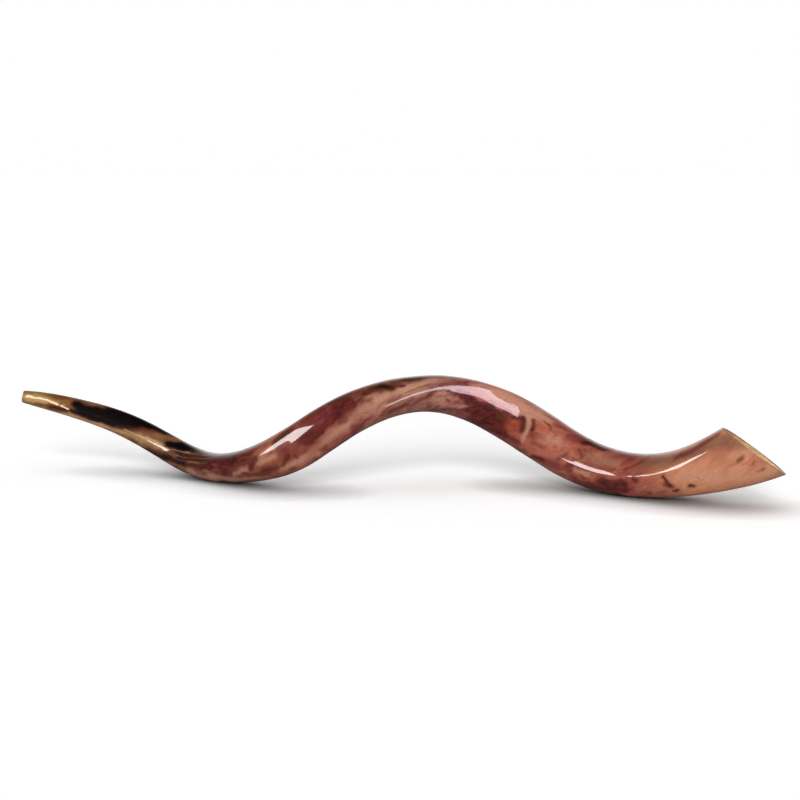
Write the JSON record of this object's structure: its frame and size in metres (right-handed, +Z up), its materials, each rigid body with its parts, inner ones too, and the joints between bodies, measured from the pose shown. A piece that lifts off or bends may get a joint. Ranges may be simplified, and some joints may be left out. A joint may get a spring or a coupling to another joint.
{
  "type": "shofar",
  "caption": "Long spiral kudu-horn shofar: a hollow lacquered horn that coils along a level axis, with a small drilled mouthpiece at its thin end and a slanting oval bell.",
  "frame": {"origin": "centre of the base of the bounding box, on the surface that the horn lies on", "axes": "+X along the coil's axis from the mouthpiece towards the bell, +Z up, so the horn lies on its first bend and its bell bend with the crest between them"},
  "size_m": [0.9014, 0.1382, 0.1305],
  "materials": {
    "lacquered_horn": "clear gloss lacquer over mottled pink-brown horn"
  },
  "bodies": {
    "root": {"mouthpiece": "lacquered_horn", "drilled_tip": "lacquered_horn", "tip_reach": "lacquered_horn", "first_bend_entry": "lacquered_horn", "first_bend": "lacquered_horn", "first_rise": "lacquered_horn", "upper_rise": "lacquered_horn", "crest_bend": "lacquered_horn", "first_fall": "lacquered_horn", "lower_fall": "lacquered_horn", "bell_bend_entry": "lacquered_horn", "bell_bend": "lacquered_horn", "bell_throat": "lacquered_horn", "bell_flare": "lacquered_horn", "bell": "lacquered_horn"}
  },
  "joints": []
}
